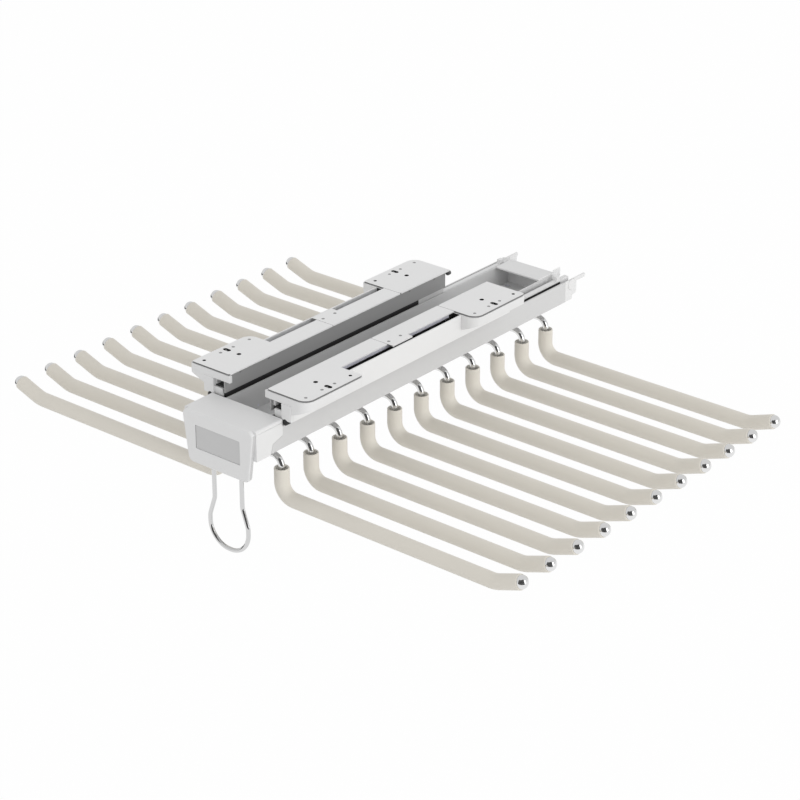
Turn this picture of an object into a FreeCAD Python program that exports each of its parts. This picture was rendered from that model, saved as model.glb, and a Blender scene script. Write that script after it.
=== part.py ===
import FreeCAD
import Part
import math
import os

# Top-mounted pull-out trouser rack, in millimetres.
# +X is to the right, +Y to the rear of the wardrobe, +Z up.
# The origin is the centre of the four mounting plates, on the wardrobe's underside.

V = FreeCAD.Vector

# Runners and mounting plates
runner_length = 300.0
plate_length = 72.0
plate_width = 44.0
plate_inset = 4.0
plate_thickness = 1.2
plate_corner = 2.0
plate_round = 9.6
tongue_width = 19.2
tongue_joint_y = -15.5
tongue_joint_gap = 0.4
joint_tab_length = 27.0
joint_tab_reach = 6.0

# Holes in each plate, from the plate's inner edge and middle
slot_from_edge = 36.6
slot_length = 8.0
slot_width = 4.2
screw_from_edge = 22.4
screw_hole = 4.2
end_hole = 3.2
end_hole_offset = 28.5
bore_clearance = 0.4
rivet_offset = 8.0
rivet_diameter = 3.0
strip_rivet_from_edge = 16.3
strip_rivet_rows = [-10.5, 5.5]

# Wing brackets
bracket_overhang = 1.5
bracket_lip = 3.0
bracket_flange = 6.3
bracket_rim = 1.0
lip_reach = 1.8
shadow_gap_depth = 1.0
shadow_gap_under = 1.0
shadow_gap_out = 0.4
wing_edge = 7.8
wing_drop = 6.5
pocket_wall = 1.1
pocket_depth = 10.0

# Grey runner skirts
skirt_inset = 0.7
skirt_thickness = 1.2
skirt_height = 17.0
skirt_rivet_depth = 3.0

# Fixed slide members, moving rails, cages and balls
slide_from_tray = 7.2
slide_width = 11.0
slide_wall = 1.6
runner_wall = 1.4
runner_wall_reach = 16.5
runner_wall_z = -22.5
slide_web_z = -14.0
slide_bottom_z = -41.5
rail_width = 5.0
rail_top_z = -25.9
rail_front_gap = 4.5
ball_diameter = 2.6
ball_z = -33.0
ball_clearance = 0.15
ball_pitch = 12.0
balls_per_side = 9
cage_thickness = 0.5
cage_margin = 9.5
cage_web_gap = 1.0
cage_skirt = 7.0
cage_end_gap = 5.0
spine_width = 7.6
spine_height = 3.9
spine_inset = 0.5
post_proud = 0.7
post_foot = 2.0
post_tail = 8.0
post_fit = 0.1

# Travel and stops
frame_travel = 260.0
stop_thickness = 4.7
stop_width = 4.0
stop_gap = 0.3
lug_length = 5.0
lug_height = 4.0
cage_stop_gap = 0.5

# Frame: centre tray and side rails
frame_length = 401.0
frame_front_gap = 3.0
tray_half_width = 26.6
tray_sheet = 1.0
tray_floor = 1.5
tray_top_z = -23.1
frame_bottom_z = -48.3
side_rail_width = 14.65
side_wall = 1.65
side_wall_top_z = -27.6
trough_floor = 2.0
side_upstand = 4.0
upstand_wall = 1.3
side_fit = 0.1
rail_rivet_diameter = 2.4

# Arms
arm_count = 11
first_arm_inset = 4.4
last_arm_inset = 21.6
rod_diameter = 6.0
rod_z = -60.6
rod_bend = 9.4
arm_root_inset = 6.19
arm_z = -97.7
arm_bend = 14.0
arm_knee_x = 265.5
arm_knee_bend = 26.0
arm_rise_deg = 19.5
arm_tip_reach = 25.5
sleeve_diameter = 13.6
sleeve_top_z = -70.3
sleeve_fit = 0.1
rod_joint_depth = 10.0
rod_joint_gap = 0.1
mouth_diameter = 10.6
mouth_depth = 5.0
sleeve_end_round = 0.7
tip_diameter = 12.0
tip_socket = 3.0

# Arm beam under the tray
beam_half_width = 15.0
beam_wall = 1.8
beam_front_gap = 9.0
beam_rear_gap = 10.0
clamp_thickness = 2.0

# Front cap
cap_length = 36.7
flange_thickness = 4.0
flange_top_z = -21.2
flange_bottom_z = -70.4
flange_taper = 6.55
flange_corner = 6.0
flange_edge_round = 1.5
cap_wall = 1.8
cap_shoulder = 2.0
lid_height = 3.0
lid_seam = 0.5
lid_seam_depth = 0.4
nose_step_z = -36.2
nose_slope_length = 12.3
nose_slope_z = -40.0
nose_length = 15.2
nose_gap = 0.2
cap_keel = 1.0
window_width = 51.2
window_height = 22.3
window_z = -44.6
window_depth = 1.5
window_corner = 1.0
label_thickness = 1.0
label_fit = 0.1
tongue_plate_length = 15.0
tongue_plate_thickness = 2.5

# Pull loop and its boss
loop_wire = 4.0
loop_from_front = 11.1
loop_pivot_z = -63.0
loop_leg_x = 16.1
loop_half_width = 22.3
loop_flare_top_z = -104.0
loop_flare_z = -122.0
loop_bottom_z = -149.3
loop_neck_bend = 3.6
loop_flare_bend = 14.0
loop_bottom_bend = 21.5
loop_stub = 6.5
loop_fit = 0.05
boss_side_gap = 0.3
boss_depth = 13.2
boss_below_pivot = 4.6

# Rear cap
rear_top_z = -22.0
rear_cross_depth = 20.2
rear_cross_thickness = 2.0
rear_wall = 2.0
horn_length = 11.5
horn_top_z = -19.2
horn_bottom_z = -28.0
cheek_length = 18.0
cheek_bottom_z = -44.0
cheek_corner = 3.0
ear_length = 14.0
ear_height = 4.0
cheek_boss = 11.0
cheek_boss_proud = 0.8
cheek_boss_from_rear = 9.7
cheek_boss_z = -32.6

# Fasteners and buffers
screw_diameter = 3.9
screw_head = 7.0
screw_head_height = 2.0
rail_screw_count = 4
rail_screw_bite = 11.0
nut_width = 7.0
nut_height = 3.2
bolt_clearance = 0.15
buffer_diameter = 5.4
front_buffer_reach = 9.5
front_buffer_z = -24.2
front_buffer_gap = 0.3
front_buffer_depth = 6.0
rear_buffer_inset = 1.6
rear_buffer_z = -3.95
rear_buffer_length = 5.0
rear_buffer_diameter = 4.4

# Places worked out from the sizes above
half_runner = runner_length / 2
slide_centre_x = tray_half_width + slide_from_tray
side_half_width = tray_half_width + side_rail_width
skirt_in_x = tray_half_width - skirt_inset
runner_wall_x = slide_centre_x + runner_wall_reach
plate_in_x = skirt_in_x - plate_inset
plate_out_x = plate_in_x + plate_width
plate_mid_y = half_runner - plate_length / 2
plate_inner_y = half_runner - plate_length
sheet_under_z = -plate_thickness
flange_under_z = sheet_under_z - bracket_flange
skirt_out_x = skirt_in_x + skirt_thickness
runner_wall_in_x = runner_wall_x - runner_wall
bracket_front_y = -half_runner - bracket_overhang
bracket_lip_y = bracket_front_y + bracket_lip
slide_in_x = slide_centre_x - slide_width / 2
slide_out_x = slide_centre_x + slide_width / 2
slide_front_y = bracket_lip_y
slide_web_under_z = slide_web_z - slide_wall
rail_in_x = slide_centre_x - rail_width / 2
rail_out_x = slide_centre_x + rail_width / 2
rail_front_y = slide_front_y + rail_front_gap
frame_front_y = -half_runner - frame_front_gap
frame_rear_y = frame_front_y + frame_length
tray_in_x = tray_half_width - tray_sheet - side_fit
trough_z = frame_bottom_z + trough_floor
tray_floor_z = frame_bottom_z + tray_floor
channel_half = slide_width / 2 - slide_wall
ball_reach = (rail_width / 2 + channel_half) / 2
cage_length = (balls_per_side - 1) * ball_pitch + 2 * cage_margin
cage_rest_y = slide_front_y + cage_end_gap + (cage_length + frame_travel) / 2
slot_x = plate_in_x + slot_from_edge
screw_x = plate_in_x + screw_from_edge
strip_rivet_x = plate_in_x + strip_rivet_from_edge
front_buffer_x = slide_centre_x + front_buffer_reach
rear_buffer_x = skirt_in_x - rear_buffer_inset
first_arm_y = frame_front_y + first_arm_inset
arm_pitch = (frame_length - first_arm_inset - last_arm_inset) / (arm_count - 1)
arm_rows = [first_arm_y + i * arm_pitch for i in range(arm_count)]
arm_root_x = side_half_width - arm_root_inset
arm_slope = math.tan(math.radians(arm_rise_deg))
arm_end_x = arm_knee_x + arm_tip_reach
arm_end_z = arm_z + arm_tip_reach * arm_slope
beam_foot_z = rod_z - rod_diameter / 2
cap_back_y = frame_front_y
cap_front_y = frame_front_y - cap_length
flange_back_y = cap_front_y + flange_thickness
nose_slope_y = frame_front_y - nose_slope_length
nose_tip_y = frame_front_y - nose_length
flange_bottom_half = side_half_width - flange_taper
loop_y = cap_front_y + loop_from_front
cheek_boss_y = frame_rear_y + cheek_boss_from_rear


def box(x0, x1, y0, y1, z0, z1):
    """A block between two corners."""
    return Part.makeBox(x1 - x0, y1 - y0, z1 - z0, V(x0, y0, z0))


def rod(start, direction, radius, length):
    """A round bar from a start point."""
    return Part.makeCylinder(radius, length, start, direction)


def rounded_wire(corners, closed):
    """A wire through corner points, each (point, radius), with an arc at each rounded one."""
    count = len(corners)
    turns = []
    for i, (point, radius) in enumerate(corners):
        if radius == 0:
            turns.append((point, None, point))
            continue
        back = (corners[i - 1][0] - point).normalize()
        ahead = (corners[(i + 1) % count][0] - point).normalize()
        half = back.getAngle(ahead) / 2
        inset = radius / math.tan(half)
        middle = point + (back + ahead).normalize() * (radius / math.sin(half) - radius)
        turns.append((point + back * inset, middle, point + ahead * inset))
    edges = []
    for i, (arrive, middle, leave) in enumerate(turns):
        if middle is not None:
            edges.append(Part.Arc(arrive, middle, leave).toShape())
        if closed or i + 1 < count:
            reach = turns[(i + 1) % count][0]
            if leave.distanceToPoint(reach) > 1e-6:
                edges.append(Part.makeLine(leave, reach))
    return Part.Wire(edges)


def bar_along(path, radius):
    """A round bar swept along a wire."""
    first = path.Edges[0]
    start = first.valueAt(first.FirstParameter)
    circle = Part.makeCircle(radius, start, first.tangentAt(first.FirstParameter))
    return path.makePipeShell([Part.Wire(circle)], True, False)


def prism_y(outline, y0, y1):
    """An XZ outline of (x, z) points, drawn out from y0 to y1."""
    points = [V(x, y0, z) for x, z in outline]
    face = Part.Face(Part.makePolygon(points + points[:1]))
    return face.extrude(V(0, y1 - y0, 0))


def rounded_prism_y(outline, y0, y1):
    """An XZ outline of (x, z, radius) points, drawn out from y0 to y1."""
    wire = rounded_wire([(V(x, y0, z), radius) for x, z, radius in outline], True)
    return Part.Face(wire).extrude(V(0, y1 - y0, 0))


def rounded_prism_z(outline, z0, z1):
    """An XY outline of (x, y, radius) points, drawn out from z0 to z1."""
    wire = rounded_wire([(V(x, y, z0), radius) for x, y, radius in outline], True)
    return Part.Face(wire).extrude(V(0, 0, z1 - z0))


def left_of(shape):
    """The mirror image on the left side."""
    return shape.mirror(V(0, 0, 0), V(1, 0, 0))


def rear_of(shape):
    """The same piece again at the rear plate."""
    return shape.translated(V(0, 2 * plate_mid_y, 0))


def both_sides(shapes):
    """The given right-hand solids with their mirror images."""
    return shapes + [left_of(shape) for shape in shapes]


def group(shapes):
    return Part.makeCompound(shapes)


def pan_screw(x, y, head_z, tip_z):
    """A screw pointing up from its head's upper face at head_z."""
    head = rod(V(x, y, head_z - screw_head_height), V(0, 0, 1), screw_head / 2, screw_head_height)
    shank = rod(V(x, y, head_z), V(0, 0, 1), screw_diameter / 2, tip_z - head_z)
    return head.fuse(shank).removeSplitter()


def screw_bore(x, y, z0, z1):
    """The hole that a screw's shank passes through."""
    return rod(V(x, y, z0), V(0, 0, 1), screw_diameter / 2 + bolt_clearance, z1 - z0)


parts = {}


# Mounting plates: stamped sheet with round holes and one slot across. All four are one stamping, turned
# end for end on the left, so a turn of 1 is a right plate and -1 a left one before it is mirrored.

def round_hole(z0, z1, extra):
    """The plate's round screw hole, widened by the extra radius."""
    return rod(V(screw_x, -plate_mid_y, z0), V(0, 0, 1), screw_hole / 2 + extra, z1 - z0)


def plate_holes(turn, z0, z1, extra):
    """Screw holes and slot of the front plate, widened by the extra radius."""
    y = -plate_mid_y
    end_y = y + turn * end_hole_offset
    holes = [round_hole(z0, z1, extra), rod(V(slot_x, end_y, z0), V(0, 0, 1), end_hole / 2 + extra, z1 - z0)]
    slot_radius = slot_width / 2 + extra
    reach = (slot_length - slot_width) / 2
    for side in (-1, 1):
        holes.append(rod(V(slot_x + side * reach, y, z0), V(0, 0, 1), slot_radius, z1 - z0))
    holes.append(box(slot_x - reach, slot_x + reach, y - slot_radius, y + slot_radius, z0, z1))
    return holes


def plate_rivets(turn, z0, z1):
    """The shanks of the rivets that hold the front plate, between two heights."""
    rows = [-plate_mid_y + along for along in (-rivet_offset, rivet_offset, -turn * end_hole_offset)]
    return [rod(V(slot_x, y, z0), V(0, 0, 1), rivet_diameter / 2, z1 - z0) for y in rows]


def outer_corners(turn):
    """Radii of the plate's front and rear outer corners. One is well rounded, the other nearly sharp."""
    return (plate_round, plate_corner)[::turn]


tongue_out_x = plate_in_x + tongue_width


def mount_plate(turn, inner_end):
    """A front plate, whose outline runs on along the runner through the given corners."""
    front_round, rear_round = outer_corners(turn)
    outline = [
        (plate_in_x, -half_runner, plate_corner),
        (plate_out_x, -half_runner, front_round),
        (plate_out_x, -plate_inner_y, rear_round),
    ]
    sheet = rounded_prism_z(outline + inner_end, sheet_under_z, 0)
    return sheet.cut(plate_holes(turn, sheet_under_z, 0, 0) + plate_rivets(turn, sheet_under_z, 0))


tongue_end = [
    (tongue_out_x, -plate_inner_y, 0),
    (tongue_out_x, tongue_joint_y - tongue_joint_gap, 0),
    (plate_in_x, tongue_joint_y - tongue_joint_gap, 0),
]
plain_end = [(plate_in_x, -plate_inner_y, 0)]
parts["mount_plate_right_front"] = mount_plate(1, tongue_end)
parts["mount_plate_left_front"] = left_of(mount_plate(-1, tongue_end))
parts["mount_plate_right_rear"] = rear_of(mount_plate(1, plain_end))
parts["mount_plate_left_rear"] = left_of(rear_of(mount_plate(-1, plain_end)))

# Cover strips: the rear half of each runner's top, widened at the joint and riveted to the spine bar there.

strip_end_y = plate_inner_y - tongue_joint_gap
strip = box(plate_in_x, tongue_out_x, tongue_joint_y, strip_end_y, sheet_under_z, 0)
tab = box(tongue_out_x, tongue_out_x + joint_tab_reach, tongue_joint_y,
          tongue_joint_y + joint_tab_length, sheet_under_z, 0)
strip_rivets = [rod(V(strip_rivet_x, y, sheet_under_z - spine_height), V(0, 0, 1), rivet_diameter / 2,
                    spine_height + plate_thickness) for y in strip_rivet_rows]
strip = strip.fuse(tab).removeSplitter().cut(strip_rivets)
parts["cover_strip_right"] = strip
parts["cover_strip_left"] = left_of(strip)

# Wing brackets: thick white bodies under the plates. A block lies in the runner's top channel, a wing
# stands out beyond its wall, and the lip in front of the runner joins the two.

wing_out_x = plate_out_x + bracket_rim
lip_in_x = plate_in_x - lip_reach
block = box(skirt_out_x, runner_wall_in_x, bracket_lip_y, -plate_inner_y, slide_web_z, sheet_under_z)
lip = box(lip_in_x, wing_out_x, bracket_front_y, bracket_lip_y, flange_under_z, sheet_under_z)
wing_section = [
    (runner_wall_x, sheet_under_z),
    (wing_out_x, sheet_under_z),
    (wing_out_x, sheet_under_z - wing_edge),
    (runner_wall_x, sheet_under_z - wing_edge - wing_drop),
]
wing = prism_y(wing_section, bracket_front_y, -plate_inner_y)
gap_floor_z = sheet_under_z - shadow_gap_depth


def plate_shape(turn, grow):
    """The space under the plate, with its front and outer edges moved out by the given amount."""
    outline = [
        (plate_in_x, -half_runner - grow, 0),
        (plate_out_x + grow, -half_runner - grow, outer_corners(turn)[0] + grow),
        (plate_out_x + grow, -plate_inner_y, 0),
        (plate_in_x, -plate_inner_y, 0),
    ]
    return rounded_prism_z(outline, gap_floor_z, sheet_under_z)


pocket = box(slide_in_x + pocket_wall, slide_out_x - pocket_wall, bracket_lip_y,
             bracket_lip_y + pocket_depth, slide_web_z, flange_under_z)
slide_screw_places = [(slide_centre_x, -plate_mid_y + side * plate_length / 4) for side in (-1, 1)]
slide_screw_tip_z = flange_under_z
skirt_rivet_places = [-plate_mid_y + side * plate_length / 4 for side in (-1, 1)]
skirt_rivet_z = sheet_under_z - bracket_flange / 2


def skirt_rivet(y):
    return rod(V(skirt_in_x, y, skirt_rivet_z), V(1, 0, 0), rivet_diameter / 2,
               skirt_thickness + skirt_rivet_depth)


rivet_foot_z = sheet_under_z - bracket_flange / 2


def wing_bracket(turn):
    """The bracket under a front plate, with the shadow gap that runs round below the plate's edge."""
    front_round, rear_round = outer_corners(turn)
    plan = [
        (lip_in_x, bracket_front_y, bracket_rim),
        (wing_out_x, bracket_front_y, front_round + bracket_rim),
        (wing_out_x, -plate_inner_y, rear_round + bracket_rim),
        (lip_in_x, -plate_inner_y, 0),
    ]
    body = lip.fuse([block.cut(pocket), wing]).removeSplitter()
    body = body.common(rounded_prism_z(plan, slide_bottom_z, sheet_under_z))
    cuts = [plate_shape(turn, shadow_gap_out).cut(plate_shape(turn, -shadow_gap_under))]
    cuts += plate_holes(turn, slide_bottom_z, sheet_under_z, bore_clearance)
    cuts += plate_rivets(turn, rivet_foot_z, sheet_under_z)
    cuts += [screw_bore(x, y, slide_web_z, slide_screw_tip_z) for x, y in slide_screw_places]
    cuts += [skirt_rivet(y) for y in skirt_rivet_places]
    return body.cut(cuts)


lip_end = box(lip_in_x, skirt_out_x, bracket_front_y, bracket_lip_y, flange_under_z, sheet_under_z)
parts["bracket_right_front"] = wing_bracket(1)
parts["bracket_left_front"] = left_of(wing_bracket(-1))
parts["bracket_right_rear"] = rear_of(wing_bracket(1).cut(lip_end))
parts["bracket_left_rear"] = left_of(rear_of(wing_bracket(-1).cut(lip_end)))

# Runner skirts: grey steel walls along the inner side, riveted to the brackets.

skirt_under_z = sheet_under_z - skirt_height
skirt = box(skirt_in_x, skirt_out_x, bracket_lip_y, -bracket_lip_y, skirt_under_z, sheet_under_z)
skirt_end = box(skirt_in_x, skirt_out_x, bracket_front_y, bracket_lip_y, skirt_under_z, flange_under_z)
skirt = skirt.fuse(skirt_end).removeSplitter()
skirt_rivets = [skirt_rivet(y) for y in skirt_rivet_places]
skirt_rivets += [rear_of(rivet) for rivet in skirt_rivets]
skirt = skirt.cut(skirt_rivets)
parts["runner_skirt_right"] = skirt
parts["runner_skirt_left"] = left_of(skirt)
right_rivets = plate_rivets(1, rivet_foot_z, 0)
right_rivets += [rear_of(rivet) for rivet in right_rivets]
left_rivets = plate_rivets(-1, rivet_foot_z, 0)
left_rivets += [rear_of(rivet) for rivet in left_rivets]
parts["runner_rivets"] = group(right_rivets + [left_of(rivet) for rivet in left_rivets]
                               + both_sides(skirt_rivets + strip_rivets))

# Fixed slide members: one extrusion each, a channel open below with ball grooves inside, and a web that
# carries the tall white outer wall of the runner.
# A stop block under the web meets the rail's lug when the frame is fully out.

slide_section = [
    (slide_in_x, slide_web_z),
    (runner_wall_in_x, slide_web_z),
    (runner_wall_in_x, sheet_under_z),
    (runner_wall_x, sheet_under_z),
    (runner_wall_x, runner_wall_z),
    (runner_wall_in_x, runner_wall_z),
    (runner_wall_in_x, slide_web_under_z),
    (slide_out_x, slide_web_under_z),
    (slide_out_x, slide_bottom_z),
    (slide_out_x - slide_wall, slide_bottom_z),
    (slide_out_x - slide_wall, slide_web_under_z),
    (slide_in_x + slide_wall, slide_web_under_z),
    (slide_in_x + slide_wall, slide_bottom_z),
    (slide_in_x, slide_bottom_z),
]
groove_radius = ball_diameter / 2 + ball_clearance


def ball_grooves(y0, y1):
    return [rod(V(slide_centre_x + side * ball_reach, y0, ball_z), V(0, 1, 0), groove_radius, y1 - y0)
            for side in (-1, 1)]


stop_rear_y = frame_rear_y - rear_wall - lug_length - frame_travel - stop_gap
cage_web_top_z = rail_top_z + cage_web_gap + cage_thickness
out_stop = box(slide_centre_x - stop_width / 2, slide_centre_x + stop_width / 2,
               stop_rear_y - stop_thickness, stop_rear_y, cage_web_top_z + cage_stop_gap, slide_web_under_z)
slide = prism_y(slide_section, slide_front_y, -slide_front_y)
slide = slide.fuse(out_stop).removeSplitter().cut(ball_grooves(slide_front_y, -slide_front_y))
slide_screws = [pan_screw(x, y, slide_web_under_z, slide_screw_tip_z) for x, y in slide_screw_places]
slide_screws += [rear_of(screw) for screw in slide_screws]
slide_bores = [screw_bore(x, y, slide_web_under_z, slide_web_z) for x, y in slide_screw_places]
slide_bores.append(round_hole(slide_bottom_z, sheet_under_z, bore_clearance))
slide = slide.cut(slide_bores + [rear_of(cutter) for cutter in slide_bores + [lip]])
parts["slide_fixed_right"] = slide
parts["slide_fixed_left"] = left_of(slide)
parts["slide_screws"] = group(both_sides(slide_screws))

# Front posts: white end pieces that close the runner between the channel and the outer wall. Each
# holds a black rubber buffer in a notch at its foot, which meets the cap when the frame is shut.

post_front_y = bracket_front_y - post_proud
front_buffer_y = cap_back_y + front_buffer_gap
post_face = box(slide_out_x, runner_wall_x, post_front_y, slide_front_y, runner_wall_z, flange_under_z)
post_tail_body = box(slide_out_x + post_fit, runner_wall_in_x - post_fit, slide_front_y,
                     slide_front_y + post_tail, runner_wall_z, slide_web_under_z)
front_buffer = rod(V(front_buffer_x, front_buffer_y, front_buffer_z), V(0, 1, 0), buffer_diameter / 2,
                   front_buffer_depth)
post_foot_body = box(slide_in_x + slide_wall, slide_out_x, slide_front_y - post_foot, slide_front_y,
                     runner_wall_z, slide_web_under_z)
buffer_notch = rod(V(front_buffer_x, post_front_y, front_buffer_z), V(0, 1, 0),
                   buffer_diameter / 2 + post_fit, slide_front_y + post_tail - post_front_y)
post = post_face.fuse([post_tail_body, post_foot_body]).removeSplitter().cut(buffer_notch)
parts["front_posts"] = group(both_sides([post]))
parts["front_buffers"] = group(both_sides([front_buffer]))

# Spine bars: galvanised flats between the brackets, under the edges of the strips that they carry.

spine_out_x = tongue_out_x - spine_inset
spine = box(spine_out_x - spine_width, spine_out_x, -plate_inner_y, bracket_front_y + 2 * plate_mid_y,
            sheet_under_z - spine_height, sheet_under_z).cut(strip_rivets)
parts["spine_bars"] = group(both_sides([spine]))

# Rear buffers: dark rubber knobs under the plates' rear corners, on the ends of the skirts.

rear_buffer = rod(V(rear_buffer_x, -bracket_lip_y, rear_buffer_z), V(0, 1, 0),
                  rear_buffer_diameter / 2, rear_buffer_length)
parts["rear_buffers"] = group(both_sides([rear_buffer]))

# Centre tray: a grey steel floor with a sheet wall welded on along each side, between the runners.

tray_rear_y = frame_rear_y - rear_wall
beam_bolt_rows = [first_arm_y + (i + 0.5) * arm_pitch for i in range(0, arm_count - 1, 2)]
beam_bolt_bores = [screw_bore(0, y, beam_foot_z - clamp_thickness, tray_floor_z) for y in beam_bolt_rows]
cap_screw_x = (beam_half_width + tray_half_width) / 2
tongue_plate_z = tray_floor_z + tongue_plate_thickness
cap_screw_rows = [cap_back_y + tongue_plate_length / 2, tray_rear_y - tongue_plate_length / 2]
cap_screw_bores = [screw_bore(side * cap_screw_x, y, frame_bottom_z, tongue_plate_z)
                   for side in (-1, 1) for y in cap_screw_rows]
upstand_z = trough_z + side_upstand
side_in_x = tray_half_width + side_fit
rail_rivet_z = (trough_z + upstand_z) / 2
rail_rivet_rows = [y + arm_pitch for y in arm_rows[:-1:2]]


def rail_rivet(y):
    start = V(tray_half_width - tray_sheet, y, rail_rivet_z)
    return rod(start, V(1, 0, 0), rail_rivet_diameter / 2, tray_sheet + side_fit + upstand_wall)


rail_rivets = [rail_rivet(y) for y in rail_rivet_rows]
tray_base = box(-tray_half_width, tray_half_width, frame_front_y, tray_rear_y, frame_bottom_z, tray_floor_z)
tray_side = box(tray_half_width - tray_sheet, tray_half_width, frame_front_y, tray_rear_y,
                tray_floor_z, tray_top_z)
parts["centre_tray"] = group([tray_base.cut(beam_bolt_bores + cap_screw_bores)]
                             + both_sides([tray_side.cut(rail_rivets)]))
parts["rail_rivets"] = group(both_sides(rail_rivets))

# Side rails: white profiles with the outer wall and the trough that the slide runs in.

side_section = [
    (side_in_x, frame_bottom_z),
    (side_half_width, frame_bottom_z),
    (side_half_width, side_wall_top_z),
    (side_half_width - side_wall, side_wall_top_z),
    (side_half_width - side_wall, trough_z),
    (side_in_x + upstand_wall, trough_z),
    (side_in_x + upstand_wall, upstand_z),
    (side_in_x, upstand_z),
]
rail_rear_y = frame_rear_y - rear_wall
rail_screw_pitch = (rail_rear_y - rail_front_y) / rail_screw_count
rail_screw_rows = [rail_front_y + rail_screw_pitch * (i + 0.5) for i in range(rail_screw_count)]
rail_screw_tip_z = trough_z + rail_screw_bite
rail_screws = [pan_screw(slide_centre_x, y, frame_bottom_z, rail_screw_tip_z) for y in rail_screw_rows]
rail_bores = [screw_bore(slide_centre_x, y, frame_bottom_z, rail_screw_tip_z) for y in rail_screw_rows]
side_in_wall_x = side_half_width - side_wall


def rail_nose(gap):
    """The slanted front end of the rail's outer wall, let into the cap's side."""
    outline = [
        V(side_in_wall_x - gap, frame_front_y, nose_step_z + gap),
        V(side_in_wall_x - gap, nose_slope_y - gap, nose_slope_z + gap),
        V(side_in_wall_x - gap, nose_tip_y - gap, frame_bottom_z),
        V(side_in_wall_x - gap, frame_front_y, frame_bottom_z),
    ]
    return Part.Face(Part.makePolygon(outline + outline[:1])).extrude(V(side_wall + gap, 0, 0))


side_rail = prism_y(side_section, frame_front_y, frame_rear_y).fuse(rail_nose(0)).removeSplitter()
side_rail = side_rail.cut(rail_bores + rail_rivets)
parts["side_rail_right"] = side_rail
parts["side_rail_left"] = left_of(side_rail)

# Moving slide rails: bars that stand in the troughs, grooved for the balls, with a stop lug at the rear.

rail = box(rail_in_x, rail_out_x, rail_front_y, rail_rear_y, trough_z, rail_top_z)
lug = box(slide_centre_x - stop_width / 2, slide_centre_x + stop_width / 2,
          rail_rear_y - lug_length, rail_rear_y, rail_top_z, rail_top_z + lug_height)
rail = rail.fuse(lug).removeSplitter()
rail = rail.cut(ball_grooves(rail_front_y, rail_rear_y) + rail_bores)
parts["slide_rail_right"] = rail
parts["slide_rail_left"] = left_of(rail)

# Ball cages: thin steel saddles over the rails that keep the balls apart.

cage_in = ball_reach - cage_thickness / 2
cage_out = ball_reach + cage_thickness / 2
cage_foot_z = ball_z - cage_skirt
cage_section = [
    (slide_centre_x - cage_out, cage_foot_z),
    (slide_centre_x - cage_out, cage_web_top_z),
    (slide_centre_x + cage_out, cage_web_top_z),
    (slide_centre_x + cage_out, cage_foot_z),
    (slide_centre_x + cage_in, cage_foot_z),
    (slide_centre_x + cage_in, cage_web_top_z - cage_thickness),
    (slide_centre_x - cage_in, cage_web_top_z - cage_thickness),
    (slide_centre_x - cage_in, cage_foot_z),
]
cage = prism_y(cage_section, cage_rest_y - cage_length / 2, cage_rest_y + cage_length / 2)
ball_rows = [cage_rest_y + (i - (balls_per_side - 1) / 2) * ball_pitch for i in range(balls_per_side)]
cage_holes = [rod(V(slide_centre_x - cage_out, y, ball_z), V(1, 0, 0), ball_diameter / 2 + sleeve_fit,
                  2 * cage_out) for y in ball_rows]
cage = cage.cut(cage_holes)
balls = [Part.makeSphere(ball_diameter / 2, V(slide_centre_x + side * ball_reach, y, ball_z))
         for y in ball_rows for side in (-1, 1)]
parts["ball_cage_right"] = group([cage] + balls)
parts["ball_cage_left"] = group([left_of(shape) for shape in [cage] + balls])

# Arm beam: a channel open below, notched for the cross rods, closed by a clamp plate.

beam_front_y = frame_front_y - beam_front_gap
beam_rear_y = frame_rear_y - beam_rear_gap
beam_section = [
    (-beam_half_width, frame_bottom_z),
    (beam_half_width, frame_bottom_z),
    (beam_half_width, beam_foot_z),
    (beam_half_width - beam_wall, beam_foot_z),
    (beam_half_width - beam_wall, frame_bottom_z - beam_wall),
    (beam_wall - beam_half_width, frame_bottom_z - beam_wall),
    (beam_wall - beam_half_width, beam_foot_z),
    (-beam_half_width, beam_foot_z),
]
notches = []
notch_radius = rod_diameter / 2 + sleeve_fit
for y in arm_rows:
    notches.append(rod(V(-beam_half_width, y, rod_z), V(1, 0, 0), notch_radius, 2 * beam_half_width))
    notches.append(box(-beam_half_width, beam_half_width, y - notch_radius, y + notch_radius,
                       beam_foot_z, rod_z))
beam = prism_y(beam_section, beam_front_y, beam_rear_y).cut(notches + beam_bolt_bores)
parts["arm_beam"] = beam
clamp = box(-beam_half_width, beam_half_width, beam_front_y, beam_rear_y,
            beam_foot_z - clamp_thickness, beam_foot_z).cut(beam_bolt_bores)
parts["clamp_plate"] = clamp


def hex_nut(x, y, z):
    corners = [V(x + nut_width / math.sqrt(3) * math.cos(math.radians(60 * i)),
                 y + nut_width / math.sqrt(3) * math.sin(math.radians(60 * i)), z) for i in range(6)]
    body = Part.Face(Part.makePolygon(corners + corners[:1])).extrude(V(0, 0, nut_height))
    return body.cut(screw_bore(x, y, z, z + nut_height))


beam_bolts = [pan_screw(0, y, beam_foot_z - clamp_thickness, tray_floor_z + nut_height)
              for y in beam_bolt_rows]
parts["beam_bolts"] = group(beam_bolts + [hex_nut(0, y, tray_floor_z) for y in beam_bolt_rows])

# Arms: a chrome cross rod bent down at both ends, a core welded on at each end inside a beige sleeve,
# and a domed chrome tip.

rise = V(math.cos(math.radians(arm_rise_deg)), 0, math.sin(math.radians(arm_rise_deg)))
arm_end = V(arm_end_x, 0, arm_end_z)
rod_joint_z = sleeve_top_z - rod_joint_depth


def arm_path(top_z, end):
    """The line of a right arm, down from a height and out to its end."""
    return rounded_wire([
        (V(arm_root_x, 0, top_z), 0),
        (V(arm_root_x, 0, arm_z), arm_bend),
        (V(arm_knee_x, 0, arm_z), arm_knee_bend),
        (end, 0),
    ], False)


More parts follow.
